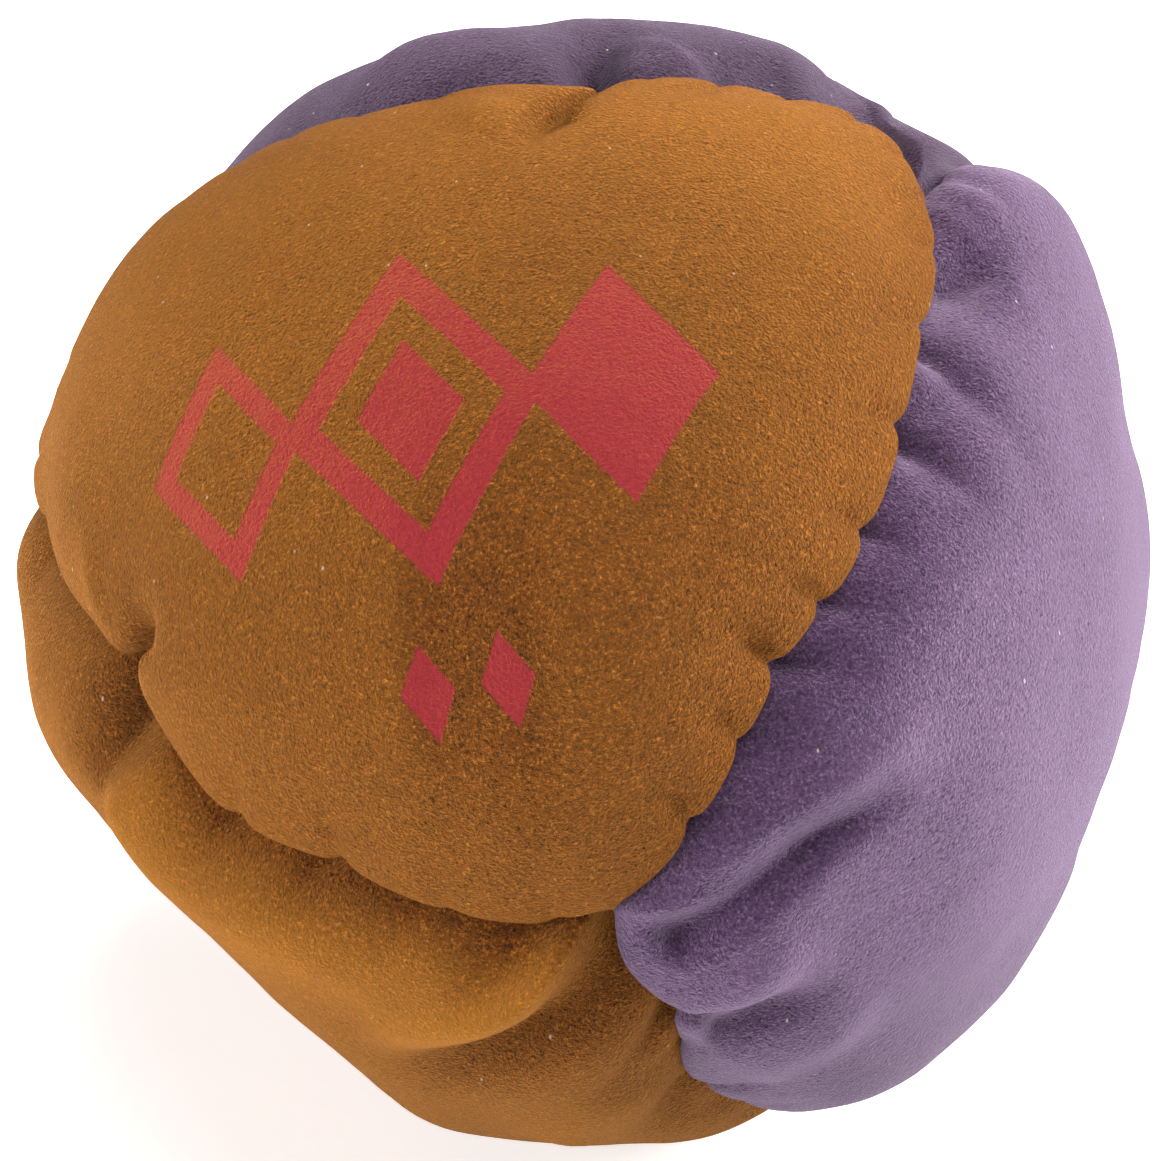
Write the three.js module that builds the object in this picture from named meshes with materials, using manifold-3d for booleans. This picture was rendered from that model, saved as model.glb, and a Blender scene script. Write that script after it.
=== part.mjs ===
// A sewn juggling beanbag: four rounded three-sided panels of synthetic suede, two tan and two purple,
// meet three at a time at four corners. Their edges are turned inside and stitched, and fine sand fills it.
// Millimetres, +Z up, the printed tan panel towards -Y. The bag rests on a flat patch of its lower panel.
import * as THREE from 'three';
import { mergeVertices } from 'three/addons/utils/BufferGeometryUtils.js';
import Module from 'manifold-3d';

const wasm = await Module();
wasm.setup();

// Driving dimensions
const ball_diameter = 57; // the round that the panels bulge out to
const rest_flat_diameter = 19; // the patch that the bag settles onto
const cloth_thickness = 0.8;
const seam_depth = 2.4; // how far a stitched fold is pulled in below the round
const shoulder_width = 5; // how wide a panel's roll down to its seam is
const seam_allowance = 3; // cloth edge turned inside, from the fold to the cut edge
const thread_diameter = 0.5;
const stitch_length = 5.2;
const stitch_inset = 1.3; // from the fold in to the line of stitches
const stitch_start = 4; // from a corner to the first stitch
const closed_share = 0.42; // the share of the last seam that is left open for filling and closed by hand
const fit_gap = 0.3; // between any two pieces
const sand_gap = 1.4; // between the sand and the cloth around it
const needle_clearance = 0.2; // around the thread in its holes

// How finely the shapes are cut
const steps_per_seam = 16;
const field_rings = [0.35, 0.7]; // shares of the way from a panel's crown to its shoulder
const thread_steps_per_stitch = 4;
const thread_sides = 5;

const ball_radius = ball_diameter / 2;
const rest_flat_angle = Math.asin(rest_flat_diameter / 2 / ball_radius);
const rest_level = -ball_radius * Math.cos(rest_flat_angle);
const raw_edge_depth = seam_depth + seam_allowance;
const thread_side_step = fit_gap / 2 + cloth_thickness + fit_gap + thread_diameter / 2;
const channel_half_width = thread_side_step + thread_diameter / 2 + sand_gap;

// A direction from the ball's middle: azimuth turns from the front (-Y) towards +X, elevation up from level.
function toward(azimuth, elevation) {
  const around = THREE.MathUtils.degToRad(azimuth);
  const up = THREE.MathUtils.degToRad(elevation);
  const level = Math.cos(up);
  return new THREE.Vector3(Math.sin(around) * level, -Math.cos(around) * level, Math.sin(up));
}

// Where the filled bag stands out from a true ball, or sinks: how far, and how many degrees it reaches.
const lumps = [
  { name: 'hollow low on the left', at: toward(-60, -35), rise: -3.8, reach: 34 },
  { name: 'shoulder behind the right corner', at: toward(116, 34), rise: 2.1, reach: 30 },
  { name: 'full cheek low on the right', at: toward(50, -42), rise: 1.2, reach: 27 },
  { name: 'slack on the right side', at: toward(82, -12), rise: -1.1, reach: 24 },
  { name: 'slack over the top', at: toward(-160, 78), rise: -0.8, reach: 22 },
];

// The corners, where three panels meet.
const corners = {
  right: toward(92, 53),
  front: toward(3, 0),
  left: toward(-116, 5),
  rear: toward(150, -50),
};

// The six seams, each from one corner to another by way of a few directions.
const seams = {
  front_top: seamLine('left', 'right', [
    [-114, 28], [-112, 52], [-108, 68], [-130, 82], [150, 82], [120, 68],
  ]),
  right_front: seamLine('right', 'front', [[77, 51], [60, 48], [43, 40], [31, 32], [22, 26], [11, 11]]),
  left_front: seamLine('left', 'front', [[-95, 11], [-75, 13], [-56, 14], [-39, 5], [-26, 4], [-13, 1]]),
  right_top: seamLine('right', 'rear', [[107, 44], [117, 22], [126, 0], [137, -25]]),
  right_lower: seamLine('front', 'rear', [[7, -8], [12, -16], [17, -33], [38, -48], [85, -57], [124, -56]]),
  left_top: seamLine('left', 'rear', [[-131, -14], [-149, -31], [-178, -45]]),
};

// Each panel's middle, the angle of the crown ring around it, and its edge as seams taken anticlockwise from
// outside, -1 for a seam taken backwards. The lower panel's middle is where it rests.
const panels = {
  tan_front_panel: {
    middle: toward(-36, 46),
    crown: 0.2,
    edge: [['left_front', 1], ['right_front', -1], ['front_top', -1]],
  },
  tan_lower_panel: {
    middle: toward(0, -90),
    crown: rest_flat_angle,
    edge: [['left_front', -1], ['left_top', 1], ['right_lower', -1]],
  },
  purple_right_panel: {
    middle: toward(65, 3),
    crown: 0.2,
    edge: [['right_front', 1], ['right_lower', 1], ['right_top', -1]],
  },
  purple_top_panel: {
    middle: toward(180, 7),
    crown: 0.2,
    edge: [['right_top', 1], ['left_top', -1], ['front_top', 1]],
  },
};

function seamLine(start, end, via) {
  const places = via.map(([azimuth, elevation]) => toward(azimuth, elevation));
  const knots = [corners[start], ...places, corners[end]];
  return new THREE.CatmullRomCurve3(knots, false, 'centripetal');
}

// How far the filled bag reaches from its middle along a direction, before the seams pull it in.
function reach(direction) {
  return lumps.reduce((radius, lump) => {
    const share = THREE.MathUtils.radToDeg(direction.angleTo(lump.at)) / lump.reach;
    return share < 1 ? radius + lump.rise * (1 - share * share) ** 2 : radius;
  }, ball_radius);
}

// A point on the bag's round, sunk by a depth, and held at or above the surface that the bag rests on.
function sunkPoint(direction, depth) {
  const radius = reach(direction) - depth;
  const floor = rest_level + depth;
  const settled = direction.z < 0 ? Math.min(radius, floor / direction.z) : radius;
  return direction.clone().multiplyScalar(settled);
}

function between(start, end, share) {
  const angle = start.angleTo(end);
  return start
    .clone()
    .multiplyScalar(Math.sin((1 - share) * angle))
    .addScaledVector(end, Math.sin(share * angle))
    .normalize();
}

// The directions along a panel's edge, each with the step across the seam into the panel. At a corner the
// step is stretched so that both of its seams keep their distance.
function edgeOf(panel) {
  const line = panel.edge.flatMap(([name, sense]) => {
    const points = seams[name].getSpacedPoints(steps_per_seam).map((point) => point.normalize());
    return (sense > 0 ? points : points.reverse()).slice(0, -1);
  });
  return line.map((direction, index) => {
    const before = direction.clone().sub(line.at(index - 1)).normalize();
    const after = line[(index + 1) % line.length].clone().sub(direction).normalize();
    const along = before.clone().add(after).normalize();
    const inward = direction.clone().cross(along).normalize();
    return { direction, inward: inward.divideScalar(along.dot(after)) };
  });
}

// Moves an edge direction sideways into the panel by a distance measured on the round.
function shifted({ direction, inward }, distance) {
  return direction.clone().multiplyScalar(ball_radius).addScaledVector(inward, distance).normalize();
}

// A ring of points down in the seam, at a depth below the round and a distance from the seam's middle plane.
function foldRing(edge, depth, distance) {
  return edge.map((spot) => {
    const point = spot.direction.clone().multiplyScalar(reach(spot.direction) - depth);
    return point.addScaledVector(spot.inward, distance);
  });
}

// Rings of one face of a panel, from its crown down the shoulder to just above the fold. The face lies at a
// depth below the bag's round, and meets the fold at a distance from the seam's middle plane.
function faceRings(panel, edge, depth, distance, fields, rolls) {
  const drop = seam_depth - depth;
  const width = shoulder_width - distance;
  const rims = edge.map((spot) => {
    const rim = shifted(spot, distance);
    const first = panel.crown / rim.angleTo(panel.middle);
    const last = 1 - width / ball_radius / rim.angleTo(panel.middle);
    return { rim, first, last };
  });
  const field = [0, ...fields].map((part) =>
    rims.map(({ rim, first, last }) => {
      const share = THREE.MathUtils.lerp(first, last, part);
      return sunkPoint(between(panel.middle, rim, share), depth);
    }),
  );
  const roll = rolls.map((degrees) => {
    const slope = THREE.MathUtils.degToRad(degrees);
    const sunk = drop * (1 - Math.cos(slope));
    return rims.map(({ rim, last }) => {
      const share = THREE.MathUtils.lerp(1, last, 1 - Math.sin(slope));
      return sunkPoint(between(panel.middle, rim, share), depth + sunk);
    });
  });
  return [...field, ...roll];
}

// Closes a stack of rings with a point at each end into one body, its faces pointing out.
function bodyFromRings(first, rings, last) {
  const count = rings[0].length;
  const points = [first, ...rings.flat(), last];
  const end = points.length - 1;
  const faces = [];
  for (let step = 0; step < count; step += 1) {
    const next = (step + 1) % count;
    faces.push(0, 1 + step, 1 + next);
    for (let ring = 0; ring < rings.length - 1; ring += 1) {
      const here = 1 + ring * count;
      const below = here + count;
      faces.push(here + step, below + step, below + next);
      faces.push(here + step, below + next, here + next);
    }
    const base = 1 + (rings.length - 1) * count;
    faces.push(base + step, end, base + next);
  }
  const geometry = new THREE.BufferGeometry().setFromPoints(points);
  geometry.setIndex(faces);
  return geometry;
}

// One suede panel: its outer face, the edge turned inside down to the cut, and its inner face.
function panelBody(panel) {
  const edge = edgeOf(panel);
  const outer_distance = fit_gap / 2;
  const inner_distance = outer_distance + cloth_thickness;
  const outer = faceRings(panel, edge, 0, outer_distance, field_rings, [0, 32, 62]);
  const inner = faceRings(panel, edge, cloth_thickness, inner_distance, field_rings, [0, 45]);
  const turned_edge = [
    foldRing(edge, seam_depth, outer_distance),
    foldRing(edge, raw_edge_depth, outer_distance),
    foldRing(edge, raw_edge_depth, inner_distance),
    foldRing(edge, seam_depth, inner_distance),
  ];
  const crown_point = sunkPoint(panel.middle, 0);
  const inner_point = sunkPoint(panel.middle, cloth_thickness);
  return bodyFromRings(crown_point, [...outer, ...turned_edge, ...inner.reverse()], inner_point);
}

// One lobe of the sand behind a panel, kept clear of the turned edges and of the threads.
function sandLobe(panel, core_radius) {
  const edge = edgeOf(panel).filter((_, index) => index % 2 === 0);
  const sand_depth = cloth_thickness + sand_gap;
  const top_rings = faceRings(panel, edge, sand_depth, channel_half_width, [...field_rings, 1], []);
  const side_ring = foldRing(edge, seam_depth + sand_depth, channel_half_width);
  const inside = core_radius * 0.9;
  const root_ring = edge.map((spot) => shifted(spot, channel_half_width).multiplyScalar(inside));
  const root_point = panel.middle.clone().multiplyScalar(inside / 2);
  return bodyFromRings(sunkPoint(panel.middle, sand_depth), [...top_rings, side_ring, root_ring], root_point);
}

// A line of running stitches: it weaves from side to side through both turned edges of a seam.
class StitchLine extends THREE.Curve {
  constructor(seam, start, end, inset) {
    super();
    Object.assign(this, { seam, start, end, inset });
    const length = (end - start) * seam.getLength() * ball_radius;
    this.stitches = Math.max(2, Math.round(length / stitch_length));
  }

  getPoint(share, target = new THREE.Vector3()) {
    const place = this.start + (this.end - this.start) * share;
    const direction = this.seam.getPointAt(place).normalize();
    const across = direction.clone().cross(this.seam.getTangentAt(place)).normalize();
    const side = thread_side_step * Math.cos(Math.PI * this.stitches * share);
    const radius = reach(direction) - seam_depth - this.inset;
    return target.copy(direction).multiplyScalar(radius).addScaledVector(across, side);
  }
}

function threadBody(line, diameter) {
  const section = new THREE.Shape();
  for (let side = 0; side < thread_sides; side += 1) {
    const angle = (2 * Math.PI * side) / thread_sides;
    const [x, y] = [(Math.cos(angle) * diameter) / 2, (Math.sin(angle) * diameter) / 2];
    if (side === 0) section.moveTo(x, y);
    else section.lineTo(x, y);
  }
  const steps = line.stitches * thread_steps_per_stitch;
  return new THREE.ExtrudeGeometry(section, { steps, extrudePath: line, bevelEnabled: false });
}

// The stitches of each seam. The last seam is stitched from one end, and its other end is closed by hand.
function stitchLines() {
  const lines = {};
  for (const [name, seam] of Object.entries(seams)) {
    const clear = stitch_start / (seam.getLength() * ball_radius);
    const end = name === 'left_top' ? 1 - closed_share : 1 - clear;
    lines[`${name}_seam_thread`] = { seam: name, line: new StitchLine(seam, clear, end, stitch_inset) };
    if (name !== 'left_top') continue;
    const gap_between = thread_diameter / (seam.getLength() * ball_radius);
    const hand_line = new StitchLine(seam, end + 3 * gap_between, 1 - clear, stitch_inset);
    lines.closing_thread = { seam: name, line: hand_line };
  }
  return lines;
}

function toSolid(geometry) {
  const plain = geometry.clone();
  plain.deleteAttribute('normal');
  plain.deleteAttribute('uv');
  const merged = mergeVertices(plain, 1e-5);
  const vertProperties = new Float32Array(merged.attributes.position.array);
  const triVerts = new Uint32Array(merged.index.array);
  return new wasm.Manifold(new wasm.Mesh({ numProp: 3, vertProperties, triVerts }));
}

function toGeometry(solid) {
  const mesh = solid.getMesh();
  const geometry = new THREE.BufferGeometry();
  geometry.setAttribute('position', new THREE.BufferAttribute(new Float32Array(mesh.vertProperties), 3));
  geometry.setIndex(new THREE.BufferAttribute(new Uint32Array(mesh.triVerts), 1));
  return geometry;
}

// A panel with the needle holes of every stitch line along its edge.
function stitchedPanel(panel, lines) {
  const sewn = panel.edge.map(([name]) => name);
  return Object.values(lines)
    .filter(({ seam }) => sewn.includes(seam))
    .reduce(
      (solid, { line }) => solid.subtract(toSolid(threadBody(line, thread_diameter + 2 * needle_clearance))),
      toSolid(panelBody(panel)),
    );
}

// The sand as one body: a round core and a lobe that fills out each panel.
function sandBody() {
  const deepest = Math.min(...lumps.map((lump) => lump.rise));
  const core_radius = ball_radius + deepest - raw_edge_depth - sand_gap;
  const core = toSolid(new THREE.IcosahedronGeometry(core_radius, 4));
  const lobes = Object.values(panels).map((panel) => toSolid(sandLobe(panel, core_radius)));
  return lobes.reduce((solid, lobe) => solid.add(lobe), core);
}

const tanSuede = () => new THREE.MeshStandardMaterial({ color: 0x8c5429, roughness: 0.95, metalness: 0 });
const purpleSuede = () => new THREE.MeshStandardMaterial({ color: 0x745c7a, roughness: 0.95, metalness: 0 });
const sewingThread = () => new THREE.MeshStandardMaterial({ color: 0x4a3626, roughness: 0.7, metalness: 0 });
const paleSand = () => new THREE.MeshStandardMaterial({ color: 0xb59a70, roughness: 1, metalness: 0 });

function named(name, geometry, material) {
  const mesh = new THREE.Mesh(geometry, material);
  mesh.name = name;
  return mesh;
}

function beanbag() {
  const bag = new THREE.Group();
  const lines = stitchLines();
  for (const [name, panel] of Object.entries(panels)) {
    const suede = name.startsWith('tan') ? tanSuede() : purpleSuede();
    bag.add(named(name, toGeometry(stitchedPanel(panel, lines)), suede));
  }
  for (const [name, { line }] of Object.entries(lines)) {
    bag.add(named(name, toGeometry(toSolid(threadBody(line, thread_diameter))), sewingThread()));
  }
  bag.add(named('sand_fill', toGeometry(sandBody()), paleSand()));
  const box = new THREE.Box3().setFromObject(bag);
  const middle = box.getCenter(new THREE.Vector3());
  bag.position.set(-middle.x, -middle.y, -box.min.z);
  return bag;
}

export default beanbag();
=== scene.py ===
"""A sewn four-panel juggling beanbag: suede panels, seams and filling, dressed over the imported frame."""

import logging
import math
from dataclasses import dataclass, field, replace
from enum import Enum
from functools import reduce
from typing import Iterable, Sequence, TypeAlias

import bpy
import numpy as np
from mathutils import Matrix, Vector, noise


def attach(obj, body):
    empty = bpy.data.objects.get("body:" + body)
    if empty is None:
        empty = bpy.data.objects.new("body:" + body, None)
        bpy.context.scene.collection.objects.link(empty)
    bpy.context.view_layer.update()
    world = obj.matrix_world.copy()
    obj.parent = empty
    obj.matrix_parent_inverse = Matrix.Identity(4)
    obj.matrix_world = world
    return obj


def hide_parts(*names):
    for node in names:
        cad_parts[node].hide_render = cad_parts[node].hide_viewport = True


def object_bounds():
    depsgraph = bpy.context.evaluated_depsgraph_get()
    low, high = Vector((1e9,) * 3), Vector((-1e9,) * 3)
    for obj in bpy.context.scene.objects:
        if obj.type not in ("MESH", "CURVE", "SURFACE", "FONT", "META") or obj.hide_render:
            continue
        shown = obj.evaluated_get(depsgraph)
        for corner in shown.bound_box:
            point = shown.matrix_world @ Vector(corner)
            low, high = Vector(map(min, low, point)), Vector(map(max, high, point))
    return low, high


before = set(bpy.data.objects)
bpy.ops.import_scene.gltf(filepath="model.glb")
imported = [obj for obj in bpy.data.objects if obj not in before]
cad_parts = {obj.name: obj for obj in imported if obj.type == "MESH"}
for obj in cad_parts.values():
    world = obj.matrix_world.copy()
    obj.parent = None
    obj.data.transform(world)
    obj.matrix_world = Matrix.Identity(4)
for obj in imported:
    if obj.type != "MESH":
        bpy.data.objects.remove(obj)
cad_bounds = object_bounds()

Rings: TypeAlias = list[tuple[np.ndarray, np.ndarray, np.ndarray]]
Operand: TypeAlias = "Wire | float | tuple[float, ...]"
Colour: TypeAlias = tuple[float, float, float, float]

log = logging.getLogger("beanbag")

MM = 0.001
BODY = "root"
CLOTH_THICKNESS = 0.8 * MM
SEAM_ALLOWANCE = 3.0 * MM

# The numbers below are in millimetres where they are sizes.
HALF_SEAM_GAP = 0.15
INNER_RING_STEP = 3

# Plain hand stitches: the spans of their pull, reach, lean and spacing, and the bare stretch at each end.
STITCH_PULL, STITCH_REACH, STITCH_LEAN = (0.25, 0.75), (1.8, 4.5), (-0.5, 0.5)
STITCH_SPACING = (2.6, 4.6)
BARE_START, BARE_END = 2.5, 2.0

# A gather's notch: its half width at the seam, and how fast it widens away from the seam.
NOTCH_WIDTH, NOTCH_SPREAD = 0.55, 0.3

# What a gather's pull and reach are multiplied by on the panel that rolls over, and its reach on the other.
OVER_PULL, OVER_REACH, UNDER_REACH = 0.55, 0.8, 1.3

# Where a gather meets the rolled edge: its notch's sharpness, the most overhang that it takes away, how far
# it draws the edge in, how far from the seam that reaches, and the height over which it grows.
ROLL_SHARPNESS, ROLL_TAKEN, ROLL_DRAWN, ROLL_REACH, ROLL_RISE = 1.2, 0.9, 0.55, 4.0, 1.2

# The share of a gather's pull right at the seam, and the distance from it where the pull is whole.
SEAM_PULL, WHOLE_PULL = 0.25, 1.5

# The curve of the cloth that dives under a rolled edge: how its rings crowd, and how steeply it falls.
UNDER_CROWDING, UNDER_FALL = 1.5, 1.7

# The least that a spoke's slant counts for, where it leaves the seam at a sharp angle.
LEAST_SQUARE = 0.55

# Corners: how far their pinch reaches, how much deeper they sit, and the share of overhang they take away.
CORNER_REACH, CORNER_DEPTH, CORNER_PINCH = 2.6, 0.5, 0.5

# How many spokes a panel's edge is smoothed over: the way it faces, and what its seams say.
INWARD_BLUR, SEAM_BLUR = 2.5, 6

# How much cloth inside the bag counts as standing out, a number that keeps a normal's length from being 0,
# and the shortest share of its path that a fold can start or end over.
INSIDE_CREST, NO_ZERO, SHORTEST_FADE = -0.5, 1e-15, 1e-3

# The unevenness of filled cloth: the scale and height of each layer of noise.
ROUGHNESS = ((4.2, 0.22), (13.0, 0.06))


def toward(azimuth: float, elevation: float) -> np.ndarray:
    """Give the unit direction from the bag's middle.

    Args:
        azimuth: degrees from the front (-Y) towards +X.
        elevation: degrees above level.

    Returns:
        The direction as three numbers.
    """
    around, up = math.radians(azimuth), math.radians(elevation)
    return np.array((math.sin(around) * math.cos(up), -math.cos(around) * math.cos(up), math.sin(up)))


def unit(vectors: np.ndarray) -> np.ndarray:
    """Scale vectors to length one along their last axis."""
    return vectors / np.linalg.norm(vectors, axis=-1, keepdims=True)


def smooth_step(values: np.ndarray, low: float, high: float) -> np.ndarray:
    """Rise smoothly from 0 at low to 1 at high."""
    share = np.clip((values - low) / (high - low), 0.0, 1.0)
    return share * share * (3.0 - 2.0 * share)


def arc_length(line: np.ndarray) -> float:
    """Measure a line of points from end to end."""
    return float(np.sum(np.linalg.norm(np.diff(line, axis=0), axis=1)))


def line_through(knots: Sequence[np.ndarray], count: int) -> np.ndarray:
    """Lay a smooth line over the ball through a few directions.

    Args:
        knots: the directions that the line passes, from end to end.
        count: how many evenly spaced directions to return.

    Returns:
        The directions on the line, count by 3.
    """
    points = np.array(knots, float)
    padded = np.vstack((2 * points[0] - points[1], points, 2 * points[-1] - points[-2]))
    fine = []
    for a, b, c, d in zip(padded, padded[1:], padded[2:], padded[3:]):
        t0 = 0.0
        t1 = t0 + np.linalg.norm(b - a) ** 0.5
        t2 = t1 + np.linalg.norm(c - b) ** 0.5
        t3 = t2 + np.linalg.norm(d - c) ** 0.5
        t = np.linspace(t1, t2, 80, endpoint=False)[:, None]
        ab = (t1 - t) / (t1 - t0) * a + (t - t0) / (t1 - t0) * b
        bc = (t2 - t) / (t2 - t1) * b + (t - t1) / (t2 - t1) * c
        cd = (t3 - t) / (t3 - t2) * c + (t - t2) / (t3 - t2) * d
        abc = (t2 - t) / (t2 - t0) * ab + (t - t0) / (t2 - t0) * bc
        bcd = (t3 - t) / (t3 - t1) * bc + (t - t1) / (t3 - t1) * cd
        fine.append((t2 - t) / (t2 - t1) * abc + (t - t1) / (t2 - t1) * bcd)
    line = unit(np.vstack((*fine, points[-1:])))
    along = np.concatenate(([0.0], np.cumsum(np.linalg.norm(np.diff(line, axis=0), axis=1))))
    wanted = np.linspace(0.0, along[-1], count)
    return unit(np.stack([np.interp(wanted, along, line[:, axis]) for axis in range(3)], axis=1))


def turned(start: np.ndarray, end: np.ndarray, angle: np.ndarray) -> np.ndarray:
    """Turn directions towards others by an angle, or away from them by a negative one.

    Args:
        start: directions, n by 3.
        end: the direction or directions to turn towards.
        angle: radians to turn each by.

    Returns:
        The turned directions, n by 3.
    """
    side = unit(end - start * np.sum(start * end, axis=-1, keepdims=True))
    return start * np.cos(angle)[..., None] + side * np.sin(angle)[..., None]


def skinned(name: str, rings: np.ndarray, top: np.ndarray, bottom: np.ndarray) -> bpy.types.Mesh:
    """Skin a stack of rings into a closed mesh with a point at each end.

    Args:
        name: the mesh's name.
        rings: the rings' points, rings by spokes by 3.
        top: the point that closes the first ring.
        bottom: the point that closes the last ring.

    Returns:
        The mesh, its faces pointing out.
    """
    layers, count = rings.shape[:2]
    points = np.concatenate((top[None], rings.reshape(-1, 3), bottom[None]))
    here = 1 + np.arange(layers - 1)[:, None] * count + np.arange(count)[None]
    beside = 1 + np.arange(layers - 1)[:, None] * count + (np.arange(count)[None] + 1) % count
    quads = np.stack((here, here + count, beside + count, beside), axis=-1).reshape(-1, 4)
    base, end = 1 + (layers - 1) * count, len(points) - 1
    steps = [(step, (step + 1) % count) for step in range(count)]
    fans = [(0, 1 + a, 1 + b) for a, b in steps] + [(base + a, end, base + b) for a, b in steps]
    mesh = bpy.data.meshes.new(name + "_mesh")
    mesh.from_pydata(points.tolist(), [], quads.tolist() + fans)
    mesh.polygons.foreach_set("use_smooth", np.ones(len(mesh.polygons), bool))
    mesh.update()
    return mesh


def linked(name: str, data: bpy.types.ID) -> bpy.types.Object:
    """Make an object of some data and put it in the scene."""
    obj = bpy.data.objects.new(name, data)
    bpy.context.scene.collection.objects.link(obj)
    return obj


class Corner(Enum):
    """The four corners, where three panels meet, as azimuth and elevation."""

    RIGHT = (94, 53)
    FRONT = (3, 0)
    LEFT = (-116, 5)
    REAR = (150, -50)


class PanelName(Enum):
    """The four panels, by their nodes in the frame."""

    FRONT = "tan_front_panel"
    LOWER = "tan_lower_panel"
    RIGHT = "purple_right_panel"
    TOP = "purple_top_panel"


@dataclass(frozen=True)
class Gather:
    """One place where a stitch pulls the cloth in.

    Attributes:
        share: where it lies, as a share of the way along the seam.
        pull: how deep it pulls, in millimetres.
        reach: how far from the seam the pull runs, in millimetres.
        lean: how far it slants along the seam for each millimetre away from it.
        under: what the pull is multiplied by on the panel beneath.
    """

    share: float
    pull: float
    reach: float = 2.6
    lean: float = 0.0
    under: float = 1.0


@dataclass(frozen=True)
class Seam:
    """A seam between two panels, and how the cloth rolls into it. Sizes are in millimetres."""

    start: Corner
    end: Corner
    via: tuple[tuple[float, float], ...]
    over: PanelName
    overhang: float
    depth: float
    gathers: tuple[Gather, ...] = ()
    seed: int = 0

    def line(self, spacing: float, radius: float) -> np.ndarray:
        """Give evenly spaced directions along the seam, its two corners included.

        Args:
            spacing: the spacing in millimetres.
            radius: the bag's radius in millimetres.

        Returns:
            The directions, n by 3.
        """
        knots = [toward(*self.start.value), *(toward(*place) for place in self.via), toward(*self.end.value)]
        rough = line_through(knots, 200)
        steps = max(8, round(arc_length(rough) * radius / spacing))
        return line_through(knots, steps + 1)

    def pulls(self, length: float) -> tuple[Gather, ...]:
        """Give the seam's gathers, or regular hand stitches where it has none of its own.

        Args:
            length: the seam's length in millimetres.

        Returns:
            The gathers along the seam.
        """
        if self.gathers:
            return self.gathers
        chance = np.random.default_rng(self.seed)
        found, place = [], BARE_START
        while place < length - BARE_END:
            shape = [chance.uniform(*span) for span in (STITCH_PULL, STITCH_REACH, STITCH_LEAN)]
            found.append(Gather(place / length, *shape))
            place += chance.uniform(*STITCH_SPACING)
        return tuple(found)


@dataclass(frozen=True)
class Fold:
    """A ridge or furrow in a panel, along a path.

    Its rise, below 0 for a furrow, and its widths, to its left and right, are in millimetres. Its fades are
    the shares of the path over which it starts and ends.
    """

    path: tuple[tuple[float, float], ...]
    rise: float
    width: tuple[float, float]
    fade: tuple[float, float] = (0.3, 0.3)

    def height(self, directions: np.ndarray, radius: float) -> np.ndarray:
        """Work out how far the fold lifts or sinks the cloth.

        Args:
            directions: unit directions, any shape by 3.
            radius: the bag's radius in millimetres.

        Returns:
            The height at each direction, in millimetres.
        """
        line = line_through([toward(*place) for place in self.path], 12 * len(self.path))
        flat = directions.reshape(-1, 3)
        best = np.full(len(flat), np.inf)
        side = np.zeros(len(flat))
        place = np.zeros(len(flat))
        steps = len(line) - 1
        for index, (a, b) in enumerate(zip(line, line[1:])):
            along = b - a
            share = np.clip((flat - a) @ along / (along @ along), 0.0, 1.0)
            offset = flat - a - share[:, None] * along
            distance = np.linalg.norm(offset, axis=1)
            nearer = distance < best
            best = np.where(nearer, distance, best)
            side = np.where(nearer, offset @ np.cross(a, along), side)
            place = np.where(nearer, (index + share) / steps, place)
        width = np.where(side > 0, self.width[0], self.width[1])
        starts, ends = (max(fade, SHORTEST_FADE) for fade in self.fade)
        rise = smooth_step(place, 0.0, starts) * smooth_step(1 - place, 0.0, ends)
        spread = np.exp(-((best * radius / width) ** 2))
        return (self.rise * rise * spread).reshape(directions.shape[:-1])


@dataclass(frozen=True)
class Lump:
    """A broad place where the filled bag stands out from a true ball, or sinks."""

    at: tuple[float, float]
    rise: float
    reach: float

    def height(self, directions: np.ndarray) -> np.ndarray:
        """Give the lump's height in millimetres at each direction."""
        angle = np.degrees(np.arccos(np.clip(directions @ toward(*self.at), -1.0, 1.0)))
        return self.rise * np.clip(1 - (angle / self.reach) ** 2, 0.0, None) ** 2


@dataclass
class EdgeLine:
    """A panel's whole edge, spoke by spoke. Lengths are in millimetres."""

    directions: np.ndarray
    inward: np.ndarray
    arc: np.ndarray
    depth: np.ndarray
    overhang: np.ndarray
    over: np.ndarray
    pulls: list[tuple[float, Gather]]

    @property
    def length(self) -> float:
        """The length of the whole edge."""
        return float(self.arc[-1] + (self.arc[1] - self.arc[0]))

    def gathered(self, distance: np.ndarray, sharpness: float = 1.4) -> np.ndarray:
        """Work out how hard the stitches pull the cloth at a distance from the seam.

        Args:
            distance: how far each spoke's point lies from the seam, in millimetres.
            sharpness: lower values give sharper notches.

        Returns:
            The pull on each spoke.
        """
        total = np.zeros_like(distance)
        near = np.maximum(distance, 0.0)
        width = NOTCH_WIDTH + NOTCH_SPREAD * near
        for place, gather in self.pulls:
            offset = (self.arc - place + self.length / 2) % self.length - self.length / 2
            offset = np.abs(offset - gather.lean * near)
            notch = np.exp(-((offset / width) ** sharpness))
            total += gather.pull * notch * np.exp(-((near / gather.reach) ** 2))
        return total


def ring_blur(values: np.ndarray, spokes: float) -> np.ndarray:
    """Smooth a value around a closed edge.

    Args:
        values: the value on each spoke.
        spokes: the width of the bell curve that smooths it, in spokes.

    Returns:
        The smoothed values.
    """
    count = len(values)
    offset = np.minimum(np.arange(count), count - np.arange(count))
    bell = np.exp(-((offset / spokes) ** 2) / 2)
    return np.real(np.fft.ifft(np.fft.fft(values) * np.fft.fft(bell / bell.sum())))


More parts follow.
